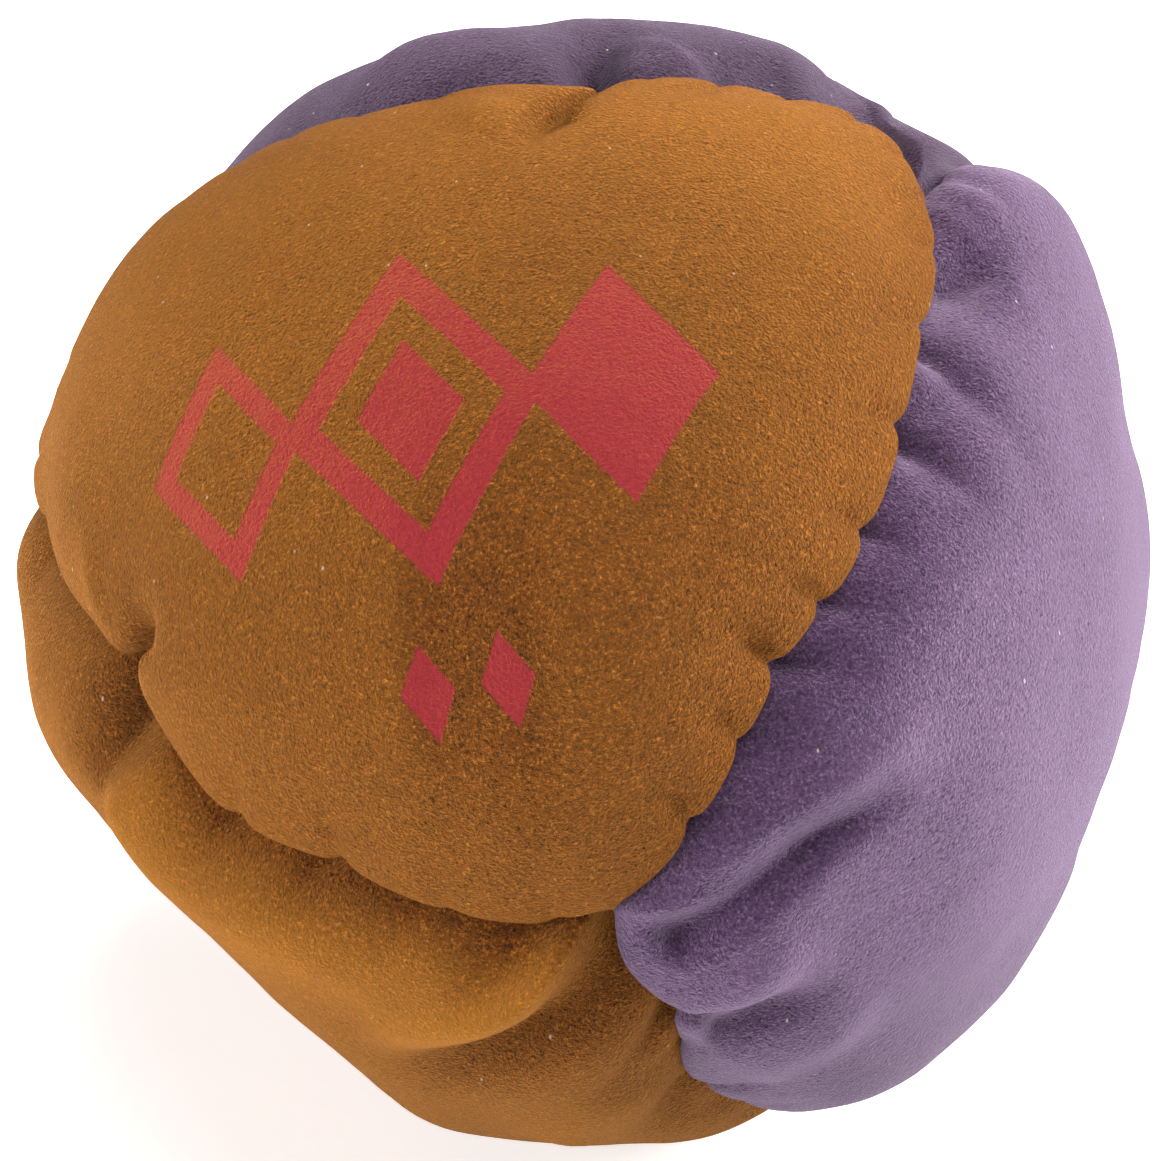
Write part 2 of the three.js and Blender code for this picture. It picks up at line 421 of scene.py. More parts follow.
@dataclass
class Bag:
    """The whole bag's shape, which the panels share. Sizes are in millimetres."""

    radius: float = 28.5
    rest_radius: float = 9.5
    edge_spacing: float = 0.36
    lumps: tuple[Lump, ...] = (
        Lump((-60, -35), -4.1, 34), Lump((-94, 7), 1.0, 13), Lump((-106, 23), -0.5, 14),
        Lump((-84, -14), -0.6, 16), Lump((112, 38), 2.6, 30), Lump((44, -46), 2.0, 26),
        Lump((65, -32), 0.9, 15), Lump((80, -15), -0.6, 14), Lump((30, 0), -0.5, 16),
        Lump((94, 4), 0.4, 14), Lump((146, 54), 0.6, 14), Lump((126, 46), -1.7, 15),
        Lump((115, 51), -1.2, 8), Lump((128, 36), -0.9, 9), Lump((-160, 52), -0.7, 18),
    )
    seams: dict[str, Seam] = field(default_factory=dict)
    middle: np.ndarray = field(init=False)

    def __post_init__(self) -> None:
        """Place the bag's middle over its rest patch, from the frame's box."""
        low, high = (np.array(corner) for corner in cad_bounds)
        height = math.sqrt(self.radius**2 - self.rest_radius**2) * MM
        self.middle = np.array(((low[0] + high[0]) / 2, (low[1] + high[1]) / 2, low[2] + height))

    def reach(self, directions: np.ndarray) -> np.ndarray:
        """Give how far the filled bag reaches along each direction."""
        return self.radius + sum(lump.height(directions) for lump in self.lumps)

    def place(self, directions: np.ndarray, heights: np.ndarray) -> np.ndarray:
        """Turn directions and heights above the round into points, and settle them on the floor.

        Args:
            directions: unit directions, any shape by 3.
            heights: millimetres above the bag's round.

        Returns:
            The points in metres, in the frame.
        """
        points = self.middle + directions * ((self.reach(directions) + heights) * MM)[..., None]
        soft = 0.25 * MM
        points[..., 2] = (points[..., 2] + np.sqrt(points[..., 2] ** 2 + soft**2)) / 2
        return points


@dataclass
class Panel:
    """One suede panel: a puffed three-sided piece whose edge is turned inside along its seams.

    Attributes:
        name: its node.
        heart: the direction that its rings close in on, as azimuth and elevation.
        edge: its seams in order, each with 1 or -1 for the way that it is walked.
        folds: its ridges and furrows.
        shoulder: how far from the seam the cloth starts to round off, in millimetres.
        puff: how far the cloth beside the seam sags below its field, in millimetres.
        puff_reach: how far from the seam that sag ends, in millimetres.
        shoulder_rings: the rings on the shoulder.
        field_rings: the rings inside it.
        innermost: where the first ring lies, as a share of the way to the heart.
        proud: how much a plain place counts as standing out.
        pull_hidden: how much each millimetre of a gather's pull takes from that.
        edge_hidden: how much the turned edge takes from it.
        bend_shown: how much each millimetre of a fold adds to it.
        seed: which unevenness it has.
    """

    name: PanelName
    heart: tuple[float, float]
    edge: tuple[tuple[str, int], ...]
    folds: tuple[Fold, ...] = ()
    shoulder: float = 6.5
    puff: float = 0.5
    puff_reach: float = 12.0
    shoulder_rings: int = 24
    field_rings: int = 46
    innermost: float = 0.995
    proud: float = 0.35
    pull_hidden: float = 0.6
    edge_hidden: float = 0.5
    bend_shown: float = 0.55
    seed: int = 0

    def edge_line(self, bag: Bag) -> EdgeLine:
        """Walk the panel's seams into one closed edge.

        Args:
            bag: the bag that the panel belongs to.

        Returns:
            The edge, anticlockwise from outside.
        """
        parts, depth, overhang, above, pulls = [], [], [], [], []
        travelled = 0.0
        for name, sense in self.edge:
            seam = bag.seams[name]
            line = seam.line(bag.edge_spacing, bag.radius)
            length = arc_length(line) * bag.radius
            over = seam.over is self.name
            for gather in seam.pulls(length):
                share = gather.share if sense > 0 else 1 - gather.share
                pull, reach = (OVER_PULL, OVER_REACH) if over else (gather.under, UNDER_REACH)
                own = Gather(share, gather.pull * pull, gather.reach * reach, gather.lean * sense)
                pulls.append((travelled + share * length, own))
            parts.append((line if sense > 0 else line[::-1])[:-1])
            count = len(line) - 1
            depth.append(np.full(count, seam.depth))
            overhang.append(np.full(count, seam.overhang))
            above.append(np.full(count, float(over)))
            travelled += length
        directions = np.vstack(parts)
        count = len(directions)
        step = np.linalg.norm(np.roll(directions, -1, axis=0) - directions, axis=1) * bag.radius
        arc = np.concatenate(([0.0], np.cumsum(step)[:-1]))
        along = unit(np.roll(directions, -1, axis=0) - np.roll(directions, 1, axis=0))
        inward = unit(np.cross(directions, along))
        inward = unit(np.stack([ring_blur(inward[:, axis], INWARD_BLUR) for axis in range(3)], axis=1))
        corners = np.cumsum([0, *(len(part) for part in parts[:-1])])
        spokes = np.arange(count)
        gaps = [np.abs((spokes - corner + count / 2) % count - count / 2) for corner in corners]
        pinch = np.exp(-((np.min(gaps, axis=0) * bag.edge_spacing / CORNER_REACH) ** 2))
        return EdgeLine(
            directions,
            inward,
            arc,
            ring_blur(np.concatenate(depth), SEAM_BLUR) + CORNER_DEPTH * pinch,
            ring_blur(np.concatenate(overhang), SEAM_BLUR) * (1 - CORNER_PINCH * pinch),
            ring_blur(np.concatenate(above), SEAM_BLUR),
            pulls,
        )

    def roughness(self, directions: np.ndarray) -> np.ndarray:
        """Give the small unevenness of filled cloth.

        Args:
            directions: unit directions, any shape by 3.

        Returns:
            The height at each direction, in millimetres.
        """
        flat = directions.reshape(-1, 3)
        start = Vector((3.1, 1.7, 5.3)) * (self.seed + 1)
        height = np.zeros(len(flat))
        for scale, rise in ROUGHNESS:
            height += rise * np.array([noise.noise(Vector(point * scale) + start) for point in flat])
        return height.reshape(directions.shape[:-1])

    def shoulder_rows(self, edge: EdgeLine, square: np.ndarray) -> Rings:
        """Round the cloth off beside the seam, ring by ring from the panel's field down into the seam.

        Where this panel rolls over, the section is part of an ellipse that hangs past the seam. Where it
        goes beneath, the section is a slope that dives under.

        Args:
            edge: the panel's edge.
            square: how squarely each spoke leaves the seam, up to 1.

        Returns:
            For each ring its distance along the spokes, its height, and how much it stands out.
        """
        tight = edge.gathered(np.zeros_like(edge.depth), ROLL_SHARPNESS)
        overhang = edge.overhang * (1 - np.clip(tight, 0.0, ROLL_TAKEN))
        wide = self.shoulder + overhang
        dip = np.arccos(np.clip(1 - (overhang + HALF_SEAM_GAP) / wide, -1.0, 1.0))
        drop = edge.depth / (1 + np.sin(dip))
        rows = []
        for part in np.linspace(1.0, 0.0, self.shoulder_rings):
            turn = -dip + (math.pi / 2 + dip) * part
            over_x = wide - overhang - wide * np.cos(turn)
            over_y = -drop + drop * np.sin(turn)
            lift = part**UNDER_CROWDING
            under_x = HALF_SEAM_GAP + (self.shoulder - HALF_SEAM_GAP) * lift
            under_y = -edge.depth * (1 - lift) ** UNDER_FALL
            x = edge.over * over_x + (1 - edge.over) * under_x
            y = edge.over * over_y + (1 - edge.over) * under_y
            pulled = edge.gathered(x)
            near = np.clip(1 - np.maximum(x, 0.0) / ROLL_REACH, 0.0, 1.0) ** 2
            x = x + ROLL_DRAWN * tight * near * smooth_step(y + edge.depth, 0.0, ROLL_RISE)
            y = y - pulled * (SEAM_PULL + (1 - SEAM_PULL) * smooth_step(x, 0.0, WHOLE_PULL))
            hidden = self.pull_hidden * pulled
            crest = np.clip(self.proud * part - hidden - self.edge_hidden * (1 - part) ** 3, -1.0, 1.0)
            rows.append((x / square, y - self.sag(x), crest))
        return rows

    def field_rows(self, edge: EdgeLine, square: np.ndarray, span: np.ndarray) -> Rings:
        """Shape the panel's field, ring by ring from its heart out to its shoulder.

        Args:
            edge: the panel's edge.
            square: how squarely each spoke leaves the seam, up to 1.
            span: how far along each spoke the heart lies, in millimetres.

        Returns:
            For each ring what shoulder_rows gives.
        """
        start = self.shoulder / square
        rows = []
        for part in np.linspace(1.0, 0.0, self.field_rings + 1)[1:][::-1]:
            away = start + (span - start) * (1 - part) * self.innermost
            pulled = edge.gathered(away * square)
            crest = np.clip(self.proud - self.pull_hidden * pulled, -1.0, 1.0)
            rows.append((away, -pulled - self.sag(away * square), crest))
        return rows

    def outer_face(self, bag: Bag, edge: EdgeLine) -> tuple[np.ndarray, np.ndarray]:
        """Shape the panel's outer face, ring by ring from its heart out to the seam.

        Args:
            bag: the bag that the panel belongs to.
            edge: the panel's edge.

        Returns:
            The points, rings by spokes by 3, and how much each stands out (above 0) or is hidden (below 0).
        """
        heart = toward(*self.heart)
        span = np.arccos(np.clip(edge.directions @ heart, -1.0, 1.0)) * bag.radius
        toward_heart = unit(heart - edge.directions * (edge.directions @ heart)[:, None])
        square = np.clip(np.sum(toward_heart * edge.inward, axis=1), LEAST_SQUARE, 1.0)
        rows = self.field_rows(edge, square, span) + self.shoulder_rows(edge, square)
        away, height, crest = (np.array(values) for values in zip(*rows))
        directions = np.array([turned(edge.directions, heart, ring / bag.radius) for ring in away])
        bend = sum((fold.height(directions, bag.radius) for fold in self.folds), np.zeros(height.shape))
        fade = np.concatenate((np.ones(self.field_rings), np.linspace(1.0, 0.0, self.shoulder_rings) ** 0.5))
        bend = bend * fade[:, None]
        height = height + bend + self.roughness(directions) * fade[:, None]
        return bag.place(directions, height), crest + self.bend_shown * bend

    def sag(self, distance: np.ndarray) -> np.ndarray:
        """Give how far the puffed panel lies below the round at a distance from the seam."""
        return self.puff * np.clip(1 - np.maximum(distance, 0.0) / self.puff_reach, 0.0, 1.0) ** 2

    def build(self, bag: Bag) -> bpy.types.Object:
        """Build the panel as one closed body: outer face, turned edge and inner face.

        Args:
            bag: the bag that the panel belongs to.

        Returns:
            The panel's object.
        """
        edge = self.edge_line(bag)
        outer, crest = self.outer_face(bag, edge)
        around = np.roll(outer, -1, axis=1) - np.roll(outer, 1, axis=1)
        outward = np.gradient(outer, axis=0)
        normals = unit(np.cross(outward, around) + NO_ZERO)
        inner = (outer - normals * CLOTH_THICKNESS)[::-1][::INNER_RING_STEP]
        inner[..., 2] = np.maximum(inner[..., 2], CLOTH_THICKNESS)
        fold, tuck = outer[-1], inner[0]
        cut = 1 - SEAM_ALLOWANCE / np.linalg.norm(fold - bag.middle, axis=1, keepdims=True)
        raw_out = bag.middle + (fold - bag.middle) * cut
        raw_in = raw_out + (tuck - fold)
        rings = np.concatenate((outer, raw_out[None], raw_in[None], inner))
        shown = np.concatenate((crest, np.full((2 + len(inner), crest.shape[1]), INSIDE_CREST)))
        top = outer[0].mean(axis=0)
        mesh = skinned(self.name.value, rings, top, inner[-1].mean(axis=0))
        # The crest value drives painted highlight on ridges and painted shade in seams, stitch pulls and
        # furrows.
        layer = mesh.attributes.new("crest", "FLOAT", "POINT")
        values = np.concatenate(([crest[0].mean()], shown.ravel(), [INSIDE_CREST])).astype(np.float32)
        layer.data.foreach_set("value", values)
        obj = linked(self.name.value.replace("panel", "suede"), mesh)
        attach(obj, BODY)
        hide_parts(self.name.value)
        return obj


@dataclass
class SeamThread:
    """A two-ply sewing thread that weaves through both turned edges of a seam. Lengths in millimetres."""

    node: str
    seam: str
    start: float = 0.06
    end: float = 0.94
    stitch: float = 2.6
    diameter: float = 0.5
    inset: float = 2.4
    sideways: float = 1.35
    steps_per_stitch: int = 12
    twists_per_stitch: float = 1.5
    ply_groove: float = 0.14
    sides: int = 10

    def build(self, bag: Bag) -> bpy.types.Object:
        """Sweep the thread's twisted section along its stitches.

        Args:
            bag: the bag that the thread holds together.

        Returns:
            The thread's object.
        """
        seam = bag.seams[self.seam]
        line = seam.line(bag.edge_spacing, bag.radius)
        shares = np.linspace(0.0, 1.0, len(line))
        length = arc_length(line) * bag.radius
        stitches = max(2, round((self.end - self.start) * length / self.stitch))
        places = np.linspace(self.start, self.end, stitches * self.steps_per_stitch + 1)
        out = unit(np.stack([np.interp(places, shares, line[:, axis]) for axis in range(3)], axis=1))
        along = unit(np.gradient(out, axis=0))
        across = unit(np.cross(out, along))
        phase = np.linspace(0.0, math.pi * stitches, len(places))
        path = bag.place(out, np.full(len(out), -(seam.depth + self.inset)))
        path = path + across * (self.sideways * MM * np.cos(phase))[:, None]
        ahead = unit(np.gradient(path, axis=0))
        side = unit(np.cross(out, ahead))
        up = np.cross(ahead, side)
        angle = np.linspace(0.0, 2 * math.pi, self.sides, endpoint=False)[None]
        twist = np.linspace(0.0, 2 * math.pi * stitches * self.twists_per_stitch, len(path))[:, None]
        plies = 1 - self.ply_groove + self.ply_groove * np.cos(2 * (angle - twist))
        reach = self.diameter / 2 * plies * MM
        rings = path[:, None] + side[:, None] * (np.cos(angle) * reach)[..., None]
        rings = rings + up[:, None] * (np.sin(angle) * reach)[..., None]
        mesh = skinned(self.node, rings, path[0], path[-1])
        obj = linked(self.node.replace("thread", "stitching"), mesh)
        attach(obj, BODY)
        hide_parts(self.node)
        return obj


@dataclass
class SandFill:
    """The fine sand, packed inside the cloth and grooved along the seams. Lengths in millimetres."""

    node: str = "sand_fill"
    slack: float = 2.9
    groove: float = 5.4
    groove_width: float = 3.4
    grain_scale: float = 60.0
    grain_height: float = 0.12
    bands: int = 150

    def build(self, bag: Bag) -> bpy.types.Object:
        """Shape the sand as one closed body.

        Args:
            bag: the bag that the sand fills.

        Returns:
            The sand's object.
        """
        up = np.linspace(89.0, -89.0, self.bands)
        around = np.linspace(0.0, 360.0, 2 * self.bands, endpoint=False)
        rings = np.array([[toward(azimuth, elevation) for azimuth in around[::-1]] for elevation in up])
        seams = np.vstack([seam.line(1.0, bag.radius) for seam in bag.seams.values()])
        near = np.array([np.max(ring @ seams.T, axis=1) for ring in rings])
        gap = np.arccos(np.clip(near, -1.0, 1.0)) * bag.radius
        grains = [[noise.noise(Vector(spot * self.grain_scale)) for spot in ring] for ring in rings]
        groove = self.groove * np.exp(-((gap / self.groove_width) ** 2))
        shape = bag.place(rings, -(self.slack + groove - self.grain_height * np.array(grains)))
        mesh = skinned(self.node, shape, shape[0].mean(axis=0), shape[-1].mean(axis=0))
        obj = linked("sand_filling", mesh)
        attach(obj, BODY)
        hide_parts(self.node)
        return obj


class Wire:
    """A shader socket that Python's own operators work on."""

    def __init__(self, book: "NodeBook", socket: bpy.types.NodeSocket) -> None:
        """Hold a socket and the book that adds nodes to its tree."""
        self.book = book
        self.socket = socket

    @property
    def is_vector(self) -> bool:
        """Tell a colour or vector from a plain value."""
        return self.socket.type in {"VECTOR", "RGBA"}

    def combine(self, operation: str, *others: Operand, last: bool = False) -> "Wire":
        """Add one Math or Vector Math node.

        Args:
            operation: the node's operation.
            others: the other inputs.
            last: whether this wire comes after the others and not before them.

        Returns:
            The result.
        """
        values = [*others, self] if last else [self, *others]
        vector = any(isinstance(v, tuple) or (isinstance(v, Wire) and v.is_vector) for v in values)
        kind = "ShaderNodeVectorMath" if vector else "ShaderNodeMath"
        if vector:
            values = [(v, v, v) if isinstance(v, (int, float)) else v for v in values]
        return self.book.add(kind, {"operation": operation}, dict(enumerate(values)))

    def __add__(self, other: Operand) -> "Wire":
        """Add."""
        return self.combine("ADD", other)

    def __radd__(self, other: Operand) -> "Wire":
        """Add, from the right."""
        return self.combine("ADD", other, last=True)

    def __sub__(self, other: Operand) -> "Wire":
        """Subtract."""
        return self.combine("SUBTRACT", other)

    def __rsub__(self, other: Operand) -> "Wire":
        """Subtract this wire from a number."""
        return self.combine("SUBTRACT", other, last=True)

    def __mul__(self, other: Operand) -> "Wire":
        """Multiply."""
        return self.combine("MULTIPLY", other)

    def __rmul__(self, other: Operand) -> "Wire":
        """Multiply, from the right."""
        return self.combine("MULTIPLY", other, last=True)

    def __truediv__(self, other: Operand) -> "Wire":
        """Divide."""
        return self.combine("DIVIDE", other)

    def higher(self, other: Operand) -> "Wire":
        """Take the higher of two values."""
        return self.combine("MAXIMUM", other)

    def lower(self, other: Operand) -> "Wire":
        """Take the lower of two values."""
        return self.combine("MINIMUM", other)

    def size(self) -> "Wire":
        """Take the absolute value."""
        return self.combine("ABSOLUTE")

    def dot(self, direction: tuple[float, float, float]) -> "Wire":
        """Measure a vector along a direction."""
        node = {"operation": "DOT_PRODUCT"}
        return self.book.add("ShaderNodeVectorMath", node, {0: self, 1: direction}, "Value")

    def step(self, low: float, high: float) -> "Wire":
        """Rise smoothly from 0 at low to 1 at high."""
        kind = {"interpolation_type": "SMOOTHSTEP"}
        return self.book.add("ShaderNodeMapRange", kind, {"Value": self, "From Min": low, "From Max": high})


class NodeBook:
    """Adds nodes to the tree of one new material."""

    def __init__(self, name: str) -> None:
        """Start a material with nothing in its tree.

        Args:
            name: the material's name.
        """
        self.material = bpy.data.materials.new(name)
        self.material.use_nodes = True
        self.tree = self.material.node_tree
        self.tree.nodes.clear()

    def add(
        self,
        kind: str,
        settings: dict[str, object] | None = None,
        inputs: dict[str | int, object] | None = None,
        output: str | int = 0,
    ) -> Wire | None:
        """Add a node, its settings first, then its inputs.

        Args:
            kind: the node's type.
            settings: the node's own properties.
            inputs: values or wires, by socket name, identifier or number.
            output: the output to return, by name, identifier or number.

        Returns:
            The chosen output, or None for a node that has none.
        """
        node = self.tree.nodes.new(kind)
        for name, value in (settings or {}).items():
            setattr(node, name, value)
        for name, value in (inputs or {}).items():
            socket = self.find(node.inputs, name)
            if isinstance(value, Wire):
                self.tree.links.new(value.socket, socket)
            else:
                socket.default_value = value
        return Wire(self, self.find(node.outputs, output)) if len(node.outputs) else None

    def find(self, sockets: Iterable[bpy.types.NodeSocket], name: str | int) -> bpy.types.NodeSocket:
        """Find a socket.

        Args:
            sockets: a node's inputs or outputs.
            name: the socket's number, identifier or name.

        Returns:
            The socket.
        """
        if isinstance(name, int):
            return sockets[name]
        return next((s for s in sockets if s.identifier == name), None) or sockets[name]

    def mix(self, share: Wire | float, first: object, second: object) -> Wire:
        """Blend two colours.

        Args:
            share: how much of the second colour.
            first: a colour or a wire.
            second: a colour or a wire.

        Returns:
            The blended colour.
        """
        inputs = {"Factor_Float": share, "A_Color": first, "B_Color": second}
        return self.add("ShaderNodeMix", {"data_type": "RGBA"}, inputs, "Result_Color")

    def fuzz(self, where: Wire, per_mm: float, detail: float = 2.0, rough: float = 0.5) -> Wire:
        """Add soft noise with features of about 1 / per_mm millimetres."""
        inputs = {"Vector": where, "Scale": per_mm, "Detail": detail, "Roughness": rough}
        return self.add("ShaderNodeTexNoise", None, inputs, "Fac")

    def cells(self, where: Wire, per_mm: float) -> tuple[Wire, Wire]:
        """Scatter cells, and give the distance to each one's middle and a chance value from 0 to 1."""
        inputs = {"Vector": where, "Scale": per_mm}
        distance = self.add("ShaderNodeTexVoronoi", None, inputs, "Distance")
        return distance, self.add("ShaderNodeTexVoronoi", None, inputs, "Color").dot((1.0, 0.0, 0.0))

    def bump(self, height: Wire, strength: float, distance: float) -> Wire:
        """Turn a height from 0 to 1 into a normal, as if 1 stood a distance in millimetres high."""
        inputs = {"Height": height, "Strength": strength, "Distance": distance * MM}
        return self.add("ShaderNodeBump", None, inputs, "Normal")

    def millimetres(self) -> Wire:
        """Give the place on the piece, in millimetres."""
        return self.add("ShaderNodeTexCoord", None, None, "Object") * 1000.0

    def finished(self, inputs: dict[str, object]) -> bpy.types.Material:
        """Finish the material with one shader.

        Args:
            inputs: the Principled shader's values or wires, by socket name.

        Returns:
            The material.
        """
        shader = self.add("ShaderNodeBsdfPrincipled", None, inputs)
        self.add("ShaderNodeOutputMaterial", None, {"Surface": shader})
        return self.material


def paint(red: int, green: int, blue: int) -> Colour:
    """Turn a colour as it looks into the linear colour that a shader takes.

    Args:
        red: 0 to 255, as are the others.
        green: the green part.
        blue: the blue part.

    Returns:
        The colour.
    """
    parts = (value / 255 for value in (red, green, blue))
    linear = (p / 12.92 if p <= 0.04045 else ((p + 0.055) / 1.055) ** 2.4 for p in parts)
    return (*linear, 1.0)


WHITE = paint(255, 255, 255)
PALE_LINT = paint(225, 214, 200)


@dataclass(frozen=True)
class Diamond:
    """One diamond of the print: its middle, half width, half height, and line width or 0 for solid ink."""

    across: float
    up: float
    wide: float
    high: float
    line: float = 0.0

    def inside(self, x: Wire, y: Wire) -> Wire:
        """Measure how far inside the ink's edge a place lies.

        Args:
            x: the place across the print, in millimetres.
            y: the place up the print, in millimetres.

        Returns:
            About the distance in millimetres, below 0 off the ink.
        """
        share = (x - self.across).size() / self.wide + (y - self.up).size() / self.high
        slope = self.wide * self.high / math.hypot(self.wide, self.high)
        depth = (1.0 - share) * slope
        return depth.lower(self.line - depth) if self.line else depth


@dataclass(frozen=True)
class HarlequinPrint:
    """A made-up print for the front panel: a row of harlequin diamonds over two small ones, in one ink.

    Its tilt is in degrees. How ragged and how blurred its edges are, and how far behind its middle it ends,
    are in millimetres.
    """

    at: tuple[float, float] = (-25, 49)
    tilt: float = 26.0
    ink: Colour = paint(168, 40, 52)
    ragged: float = 0.35
    blur: tuple[float, float] = (-0.05, 0.06)
    lowest: float = -14.0
    diamonds: tuple[Diamond, ...] = (
        Diamond(0.0, 0.0, 6.4, 8.2, 1.5),
        Diamond(0.0, 0.0, 2.6, 3.5),
        Diamond(-9.6, 0.0, 4.3, 5.9, 1.2),
        Diamond(9.6, 0.0, 4.3, 5.9),
        Diamond(-1.5, -12.6, 1.3, 2.1),
        Diamond(2.3, -12.6, 1.3, 2.1),
    )

    def mask(self, book: NodeBook, place: Wire, bag: Bag) -> Wire:
        """Work out where the ink lies.

        Args:
            book: the tree to add to.
            place: the place on the piece, in millimetres.
            bag: the bag, for the print's place on it.

        Returns:
            1 on the ink, 0 off it.
        """
        out = toward(*self.at)
        level = unit(np.cross(np.array((0.0, 0.0, 1.0)), out))
        rise = np.cross(out, level)
        lean = math.radians(self.tilt)
        across = level * math.cos(lean) + rise * math.sin(lean)
        up = rise * math.cos(lean) - level * math.sin(lean)
        local = place - tuple(bag.middle / MM + out * bag.radius)
        x, y = local.dot(tuple(across)), local.dot(tuple(up))
        deepest = reduce(Wire.higher, (diamond.inside(x, y) for diamond in self.diamonds))
        ragged = (book.fuzz(place, 5.0) - 0.5) * self.ragged
        near_side = local.dot(tuple(out)).step(self.lowest, self.lowest + 2.0)
        return (deepest + ragged).step(*self.blur) * near_side


@dataclass(frozen=True)
class SuedeFinish:
    """Brushed synthetic suede: short fibres lying every way, paler where the nap is lifted, with a painted
    highlight on ridges, partly for rubbed nap, and painted shade in seams and furrows.

    The pile's height is in millimetres. The cloth is painted darker low on the bag: painted shade on its
    underside.
    """

    name: str
    deep: Colour
    body: Colour
    pale: Colour
    sheen: Colour
    pile: float = 0.4
    sheen_weight: float = 0.7
    rough: float = 0.92
    printed: HarlequinPrint | None = None

    def make(self, bag: Bag) -> bpy.types.Material:
        """Make the material.

        Args:
            bag: the bag, for where the print lies.

        Returns:
            The material.
        """
        book = NodeBook(self.name)
        place = book.millimetres()
        sway = book.add("ShaderNodeTexNoise", None, {"Vector": place, "Scale": 0.9, "Detail": 2.0}, "Color")
        combed = place + (sway - 0.5) * 0.8
        first = book.fuzz(combed * (6.4, 6.4, 3.0), 1.0, 3.0, 0.7)
        second = book.fuzz((combed + 31.7) * (3.0, 6.0, 6.0), 1.0, 3.0, 0.7)
        grain = book.fuzz(place, 6.5, 3.0, 0.75)
        nap = (first * 0.32 + second * 0.28 + grain * 0.4).step(0.38, 0.62)
        brushed = book.fuzz(place, 0.3, 3.0, 0.6).step(0.25, 0.75)
        crest = book.add("ShaderNodeAttribute", {"attribute_name": "crest"}, None, "Fac")
        cloth = book.mix(nap, self.deep, self.body)
        flecks = (first.higher(second) * 0.6 + grain * 0.4).step(0.56, 0.68)
        cloth = book.mix(flecks * 0.55, cloth, self.pale)
        # Painted highlight on ridges and shoulders where the crest is high; partly it stands for rubbed nap.
        cloth = book.mix(crest.step(0.0, 1.1) * 0.3, cloth, self.pale)
        # Painted shade where the crest is low, in seams, stitch pulls and furrows, with the nap's random
        # brushed tone.
        nap_tone_and_crease_shade = 0.58 + brushed * 0.16 + crest.step(-1.6, 0.3) * 0.4
        # Painted shade: darker towards the bottom of the bag, below 24 mm above the floor.
        painted_underside_shade = 0.62 + place.dot((0.0, 0.0, 1.0)).step(9.0, 24.0) * 0.38
        cloth = cloth * nap_tone_and_crease_shade * painted_underside_shade
        cloth = book.mix(self.lint(book, place), cloth, PALE_LINT)
        raised = nap * 0.7 + flecks * 0.3
        rough = self.rough
        if self.printed:
            inked = self.printed.mask(book, place, bag)
            dull = tuple(value * 0.62 for value in self.printed.ink[:3])
            ink = book.mix(nap * 0.6 + 0.3, (*dull, 1.0), self.printed.ink)
            cloth = book.mix(inked * 0.94, cloth, ink)
            raised = raised * (1.0 - inked * 0.6)
            rough = self.rough - inked * 0.2
        return book.finished(
            {
                "Base Color": cloth,
                "Roughness": rough,
                "Normal": book.bump(raised, 0.9, self.pile),
                "Sheen Weight": self.sheen_weight,
                "Sheen Roughness": 0.32,
                "Sheen Tint": self.sheen,
                "Specular IOR Level": 0.12,
                "Diffuse Roughness": 0.6,
            }
        )

    def lint(self, book: NodeBook, place: Wire) -> Wire:
        """Scatter a few short pale threads of lint.

        Args:
            book: the tree to add to.
            place: the place on the piece, in millimetres.

        Returns:
            How much of the lint shows: 0 for none.
        """
        distance, chance = book.cells(place * (1.0, 1.0, 0.45), 0.7)
        thread = 1.0 - distance.step(0.03, 0.06)
        chosen = chance.step(0.6, 0.64)
        return thread * chosen * 0.7


@dataclass(frozen=True)
class ThreadFinish:
    """Twisted sewing thread: fine slanting strands with a little wax."""

    name: str
    dark: Colour
    light: Colour

    def make(self) -> bpy.types.Material:
        """Make the material.

        Returns:
            The material.
        """
        book = NodeBook(self.name)
        place = book.millimetres()
        strands = {"Vector": place, "Scale": 2.4, "Distortion": 1.5}
        twist = book.add("ShaderNodeTexWave", {"bands_direction": "DIAGONAL"}, strands, "Fac")
        fibre = book.fuzz(place, 9.0, 3.0)
        colour = book.mix(twist * 0.6 + fibre * 0.4, self.dark, self.light)
        bump = book.bump(twist, 0.5, 0.1)
        return book.finished({"Base Color": colour, "Roughness": 0.62, "Normal": bump})


@dataclass(frozen=True)
class SandFinish:
    """Dry fine sand: pale grains with a few dark ones."""

    name: str
    pale: Colour
    warm: Colour
    dark: Colour

    def make(self) -> bpy.types.Material:
        """Make the material.

        Returns:
            The material.
        """
        book = NodeBook(self.name)
        place = book.millimetres()
        shape, grain = book.cells(place, 2.6)
        colour = book.mix(grain, self.warm, self.pale)
        colour = book.mix(grain.step(0.9, 0.93), colour, self.dark)
        bump = book.bump(1.0 - shape, 0.8, 0.2)
        return book.finished({"Base Color": colour, "Roughness": 0.85, "Normal": bump})


